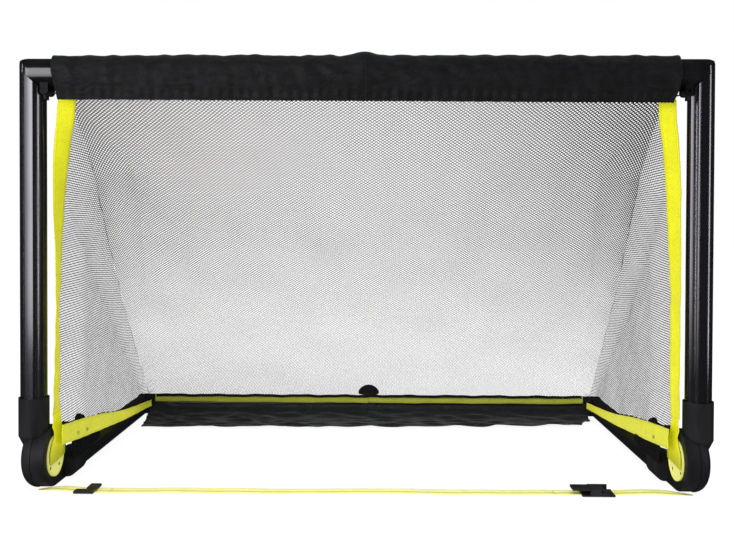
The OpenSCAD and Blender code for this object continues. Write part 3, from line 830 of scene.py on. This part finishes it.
# base bands, from the hub back to the rear corner, turning as they go
for side, sg in SIDES:
    X = 0.5290
    st = [(0.0, sg * 0.5298, 0.002, 0.1115, sg * 0.5292, 0.002, 0.0770),
          (0.09, sg * X, 0.090, 0.1020, sg * 0.5288, 0.090, 0.0665),
          (0.205, sg * X, 0.205, 0.0862, sg * 0.5285, 0.205, 0.0545),
          (0.336, sg * X, 0.336, 0.0640, sg * 0.5280, 0.336, 0.0412),
          (0.460, sg * 0.5285, 0.460, 0.0490, sg * 0.5265, 0.460, 0.0320),
          (0.530, sg * 0.5265, 0.530, 0.0425, sg * 0.5240, 0.526, 0.0285),
          (0.577, sg * 0.5240, 0.566, 0.0395, sg * 0.5210, 0.558, 0.0270)]
    ob, ln = ribbon("base_band_" + side, st, 0.035, M["base_band"], n=220, across=11, bow=0.0006, curl=0.0010, seed=7 + sg)
    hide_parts(ob.name[5:])
    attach(ob, side + "_side_bar")
    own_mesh(ob)

# black tabs that hold the base bands to the side bars: a patch over the band's upper edge, and a skirt down to the bar
for side, sg in SIDES:
    zc = lambda y: np.interp(y, [0.0, 0.09, 0.205], [0.1115, 0.1020, 0.0862])       # the band's upper edge
    zl = lambda y: np.interp(y, [0.0, 0.09, 0.205], [0.0770, 0.0665, 0.0545])       # and its lower one
    for kind, y0, y1 in (("tab", 0.068, 0.121), ("skirt", 0.050, 0.195)):
        n, m = 22, 26
        P = np.zeros((n, m, 3))
        tt = np.linspace(0, 1, n)
        for j, y in enumerate(np.linspace(y0, y1, m)):
            f = j / (m - 1)
            if kind == "tab":
                hi = zc(y) + 0.0095 + 0.0020 * math.sin(5.0 * f + 0.4) - 0.006 * (2 * f - 1) ** 4
                lo = zc(y) - 0.016
                z = hi + (lo - hi) * tt
                x = 0.5312 + 0.0010 * np.sin(3.1 * tt) + 0.0004 * np.sin(9 * f)
            else:
                hi = zl(y) + 0.010
                lo = 0.0385 + 0.004 * f
                z = hi + (lo - hi) * tt
                x = 0.5308 - 0.0036 * np.clip(tt / 0.6, 0, 1) ** 2 + 0.0006 * np.sin(11 * f + 2 * tt)
            P[:, j, 0] = sg * x
            P[:, j, 1] = y
            P[:, j, 2] = z
        V, F = grid(P)
        uv = np.stack([V[:, 1], V[:, 2]], 1)
        ob = build("bar_%s_%s" % (kind, side), V, F, M["tab"], smooth=True, uv=uv)
        thicken(ob, 0.0012)
        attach(ob, side + "_side_bar")

# rear band in two halves, on the front of the rear bar, and the black hem of the net above it
for side, sg in SIDES:
    n = 260
    xs = np.linspace(0.0006, 0.4900, n)
    st = []
    for x in np.linspace(0.0, 0.516, 24):
        k = math.sin(x * 37.0 + 1.3 * sg) * 0.0012 + math.sin(x * 91.0 + sg) * 0.0006
        lift = 0.0035 * math.exp(-((0.516 - x) / 0.05))
        st.append((x, sg * x, 0.5742, 0.0482 + 0.6 * k + lift, sg * x, 0.5738, 0.0345 + 0.4 * k + 0.3 * lift))
    ob, ln = ribbon("rear_band_" + side, st, 0.018, M["rear"], n=n, across=7, curl=0.0006, seed=17 + sg, thick=0.0011)
    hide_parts(ob.name[5:])
    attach(ob, "rear_" + side)
    st = []
    for x in np.linspace(0.0, 0.512, 40):
        k = math.sin(x * 61.0 + 2.0 * sg) * 0.0012 + math.sin(x * 143.0) * 0.0008
        st.append((x, sg * x, 0.5722, 0.0540 + 0.6 * k, sg * x, 0.5727, 0.0480 + k * 0.7))
    ob, ln = ribbon("net_hem_" + side, st, 0.009, M["tab"], n=300, across=5, bow=0.0012, curl=0.0007, seed=27 + sg, thick=0.0016)
    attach(ob, "rear_" + side)


# ------------------------------------------------------------------ crossbar sleeve
SECT = [  # arc place, y, z of the cloth, from the skirt's lower edge round the bar and back to the seam
    (0.00, -0.0205, 0.6765), (0.05, -0.0222, 0.6830), (0.09, -0.0232, 0.6885), (0.16, -0.0262, 0.6990), (0.24, -0.0288, 0.7120),
    (0.33, -0.0292, 0.7280), (0.41, -0.0255, 0.7420), (0.48, -0.0165, 0.7530), (0.55, -0.0030, 0.7575), (0.62, 0.0120, 0.7550),
    (0.69, 0.0235, 0.7445), (0.76, 0.0280, 0.7290), (0.83, 0.0262, 0.7130), (0.90, 0.0180, 0.6990), (0.95, 0.0050, 0.6915), (1.00, -0.0195, 0.6890)]


def sleeve_half(side, sg):
    n, m = 330, 84
    s = np.linspace(0, 1, m)
    yz = path_interp(s, SECT)
    arc = np.concatenate([[0], np.cumsum(np.linalg.norm(np.diff(yz, axis=0), axis=1))])
    ty = np.gradient(yz[:, 0], arc)
    tz = np.gradient(yz[:, 1], arc)
    ny, nz = -tz, ty                                  # outward for this winding
    if sg < 0:
        end = np.interp(yz[:, 1], [0.6765, 0.696, 0.725, 0.757], [-0.5290, -0.5321, -0.5376, -0.5386])
    else:
        end = np.interp(yz[:, 1], [0.6765, 0.696, 0.725, 0.757], [0.5255, 0.5319, 0.5360, 0.5370])
    back = np.clip((s - 0.5) / 0.5, 0, 1)
    end = end * (1 - back) + sg * 0.5375 * back
    f = np.linspace(0, 1, n)
    f = f ** 1.0
    X = end[None, :] * f[:, None]
    A = np.broadcast_to(arc[None, :], X.shape)
    # cloth: long soft diagonal folds, small puckers at the seam, a hump over the hinge
    skirt = np.clip((0.10 - s) / 0.10, 0, 1)[None, :]
    top = np.exp(-((s - 0.55) / 0.16) ** 2)[None, :]
    front = np.exp(-((s - 0.30) / 0.16) ** 2)[None, :]
    d = 0.0011 * waves(X, A * 1.6, 51, 0.11) + 0.0006 * waves(X, A, 52, 0.035)
    d = d + 0.0009 * top * waves(X, A * 0.5, 53, 0.045)
    diag = (X - sg * 0.0) + (A - 0.09) * 1.2
    d = d + 0.0010 * front * np.sin(diag * 2 * math.pi / 0.052 + 1.5 * waves(X, A, 54, 0.3)) * np.exp(-((np.abs(X) - 0.06) / 0.10) ** 2)
    d = d + 0.0007 * np.exp(-((A - 0.012) / 0.010) ** 2) * np.sin(X * 2 * math.pi / 0.017)
    d = d + 0.0014 * front * waves(X * 1.0, A * 0.8, 55, 0.06) * np.clip((np.abs(X) - 0.38) / 0.12, 0, 1)
    hump = np.exp(-((X + 0.002) / 0.021) ** 2)
    d = d + hump * (0.0070 * top + 0.0010 * front)
    d = d * (1 - 0.4 * skirt)
    hem = np.exp(-((1 - f[:, None]) / 0.010) ** 2) * 0.0008
    d = d + hem
    Y = yz[None, :, 0] + ny[None, :] * d
    Z = yz[None, :, 1] + nz[None, :] * d
    tilt = -0.0022 * (X / 0.53) * np.clip((0.72 - Z) / 0.045, 0, 1)     # the skirt hangs a little lower on the right
    Z = Z + tilt
    Z = Z + np.where(s[None, :] < 0.03, 0.0006 * np.sin(X * 2 * math.pi / 0.0061), 0)
    P = np.stack([X, Y, Z], -1)
    V, F = grid(P, flip=(sg > 0))
    uv = np.stack([X.ravel(), A.ravel()], 1)
    ob = build("crossbar_sleeve_" + side, V, F, M["sleeve"], smooth=True, uv=uv)
    thicken(ob, 0.0009)
    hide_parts(ob.name[5:])
    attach(ob, "crossbar_" + side)
    return P, arc


SLEEVE = {side: sleeve_half(side, sg) for side, sg in SIDES}


# ------------------------------------------------------------------ flap on the floor
def flap_half(side, sg):
    n, m = 220, 60
    prof = [(0.0, 0.5760, 0.0300), (0.10, 0.5700, 0.0180), (0.22, 0.5560, 0.0070), (0.36, 0.5350, 0.0030), (0.70, 0.4900, 0.0022), (1.0, 0.4450, 0.0026)]
    s = np.linspace(0, 1, m)
    yz = path_interp(s, prof)
    f = np.linspace(0, 1, n)
    front_y = lambda x: np.interp(x, [-0.53, -0.50, -0.2, 0.1, 0.47, 0.53], [0.437, 0.440, 0.445, 0.456, 0.477, 0.480])
    if sg < 0:
        end = np.interp(s, [0, 0.3, 1], [-0.527, -0.5265, -0.5130])
    else:
        end = np.interp(s, [0, 0.55, 0.75, 1], [0.5250, 0.5230, 0.5000, 0.4900])
    X = end[None, :] * f[:, None]
    g = (yz[None, :, 0] - 0.445) / (0.576 - 0.445)
    Y = front_y(X) + g * (0.576 - front_y(X))
    W = 0.5 + 0.5 * waves(X, Y * 2.2, 61, 0.10)
    W2 = 0.5 + 0.5 * waves(X * 0.6, Y * 2.5, 62, 0.05)
    body = np.clip(s / 0.25, 0, 1)[None, :]
    W3 = 0.5 + 0.5 * np.sin(Y * 2 * math.pi / 0.034 + 2.2 * waves(X, Y, 66, 0.20))
    Z = yz[None, :, 1] + body * (0.0042 * W ** 2 + 0.0016 * W2 + 0.0030 * W3 * (0.4 + 0.6 * W2))
    lip = np.clip((s - 0.86) / 0.14, 0, 1)[None, :] ** 2
    Z = Z + lip * (0.0035 * (0.5 + 0.5 * waves(X, Y * 0 + 0.3, 63, 0.16)))
    if sg < 0:
        Z = Z + 0.010 * np.clip((np.abs(X) - 0.46) / 0.06, 0, 1) ** 2 * np.clip(1 - s[None, :] / 0.5, 0, 1)
    Y = Y + 0.0012 * lip * waves(X, X * 0, 64, 0.07)
    P = np.stack([X, Y, np.maximum(Z, 0.0016)], -1)
    V, F = grid(P, flip=(sg < 0))
    uv = np.stack([X.ravel(), Y.ravel()], 1)
    ob = build("rear_flap_" + side, V, F, M["flap"], smooth=True, uv=uv)
    thicken(ob, 0.0010, offset=0.0)
    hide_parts(ob.name[5:])
    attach(ob, "rear_" + side)
    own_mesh(ob)


for side, sg in SIDES:
    flap_half(side, sg)


# ------------------------------------------------------------------ strap on the floor
def strap_piece(name, route, z0, seed, width=0.025, drop=0.0):
    r = np.array(route, float)
    n = max(40, int((r[-1, 0] - r[0, 0]) / 0.004))
    t = np.linspace(r[0, 0], r[-1, 0], n)
    y = path_interp(t, r)[..., 0]
    v = np.linspace(-1, 1, 9)
    P = np.zeros((n, 9, 3))
    P[:, :, 0] = t[:, None]
    dy = np.gradient(y, t)
    wide = width * np.clip(0.22 + 0.78 * (0.566 - np.abs(t)) / 0.040, 0.22, 1.0)[:, None]
    P[:, :, 0] = t[:, None] - (v[None, :] * wide / 2) * dy[:, None] / np.sqrt(1 + dy[:, None] ** 2)
    P[:, :, 1] = y[:, None] + v[None, :] * wide / 2
    lift = 0.0007 * (1 + waves(t[:, None] + 0 * v, v[None, :] * 0.01 + 0 * t[:, None], seed, 0.16))
    P[:, :, 2] = z0 + np.clip(lift, 0, 0.003)
    s = np.concatenate([[0], np.cumsum(np.hypot(np.diff(t), np.diff(y)))])
    uv = np.stack([np.repeat(s, 9), np.tile((v + 1) / 2 * width, n)], 1)
    V, F = grid(P)
    ob = build(name, V, F, M["strap"], smooth=True, uv=uv)
    thicken(ob, 0.0013)
    return ob, float(s[-1])


K = 0.001
R_LEFT = [(-0.566, -14 * K), (-0.549, -8 * K), (-0.530, -4 * K), (-0.500, -8 * K), (-0.4402, -12 * K)]
R_MID = [(-0.4398, -12 * K), (-0.300, -11 * K), (-0.100, -9 * K), (0.100, -7 * K), (0.3298, -6 * K)]
R_RIGHT = [(0.3302, -6 * K), (0.430, -3 * K), (0.480, 2 * K), (0.520, 1 * K), (0.545, -7 * K), (0.566, -15 * K)]
for name, route, body in (("floor_strap_left", R_LEFT, "left_upright"), ("floor_strap_middle", R_MID, "left_upright"), ("floor_strap_right", R_RIGHT, "strap_end")):
    ob, ln = strap_piece(name, route, 0.0013, 71)
    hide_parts(name)
    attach(ob, body)
    if name == "floor_strap_middle":
        # folded, it lies doubled up between the two ends, whose tips have come together
        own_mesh(ob)


# ------------------------------------------------------------------ floor, backdrop and light
def studio():
    m = Nodes("floor")
    p = m.pos()
    m.set(Base_Color=m.mix(m.noise(p, 3.0, 2.0), (0.125, 0.125, 0.125), (0.135, 0.135, 0.135)), Roughness=0.9)
    m.b.inputs["Specular IOR Level"].default_value = 0.0
    m.b.inputs["Emission Color"].default_value = (1, 1, 1, 1)
    m.b.inputs["Emission Strength"].default_value = 0.925
    me = bpy.data.meshes.new("floor")
    r, n = 14.0, 96
    v = [(0, 0, 0)] + [(r * math.cos(2 * math.pi * i / n), r * math.sin(2 * math.pi * i / n), 0) for i in range(n)]
    me.from_pydata(v, [], [(0, i + 1, (i + 1) % n + 1) for i in range(n)])
    me.materials.append(m.mat)
    ob = bpy.data.objects.new("floor", me)
    scene.collection.objects.link(ob)
    ob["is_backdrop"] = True
    ob.visible_glossy = False

    w = bpy.data.worlds.new("studio")
    scene.world = w
    w.use_nodes = True
    t = w.node_tree
    bg = t.nodes["Background"]
    lp = t.nodes.new("ShaderNodeLightPath")
    far = t.nodes.new("ShaderNodeBackground")
    far.inputs["Color"].default_value = (1, 1, 1, 1)
    far.inputs["Strength"].default_value = 1.0
    glossy = t.nodes.new("ShaderNodeBackground")
    glossy.inputs["Color"].default_value = (0.75, 0.80, 1.0, 1)
    glossy.inputs["Strength"].default_value = 0.03
    bg.inputs["Color"].default_value = (1, 1, 1, 1)
    bg.inputs["Strength"].default_value = 0.72
    mix1 = t.nodes.new("ShaderNodeMixShader")
    mix2 = t.nodes.new("ShaderNodeMixShader")
    t.links.new(lp.outputs["Is Glossy Ray"], mix1.inputs[0])
    t.links.new(bg.outputs[0], mix1.inputs[1])
    t.links.new(glossy.outputs[0], mix1.inputs[2])
    t.links.new(lp.outputs["Is Camera Ray"], mix2.inputs[0])
    t.links.new(mix1.outputs[0], mix2.inputs[1])
    t.links.new(far.outputs[0], mix2.inputs[2])
    t.links.new(mix2.outputs[0], t.nodes["World Output"].inputs[0])

    def softbox(name, at, to, size, power, colour=(1, 1, 1), spread=180):
        d = bpy.data.lights.new(name, "AREA")
        d.shape = "RECTANGLE"
        d.size, d.size_y = size
        d.energy = power
        d.color = colour
        d.spread = math.radians(spread)
        o = bpy.data.objects.new(name, d)
        scene.collection.objects.link(o)
        o.location = (at[0], at[1] + S, at[2])
        o.rotation_euler = (Vector((to[0], to[1] + S, to[2])) - o.location).to_track_quat("-Z", "Y").to_euler()
        o.visible_camera = False
        o.visible_glossy = name != "top"

    softbox("key", (-1.3, -1.9, 0.80), (0, 0, 0.42), (1.9, 1.6), 8, (0.98, 0.95, 1.0), 80)
    softbox("right_strip", (4.4, -1.7, 0.7), (0, 0, 0.4), (0.55, 2.2), 22, (1.0, 1.0, 1.0))
    softbox("left_strip", (-4.9, -0.8, 0.7), (0, 0, 0.4), (0.3, 2.2), 14)
    softbox("top", (0.0, 0.3, 2.6), (0, 0.3, 0), (2.6, 1.6), 52)


studio()

lo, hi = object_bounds()
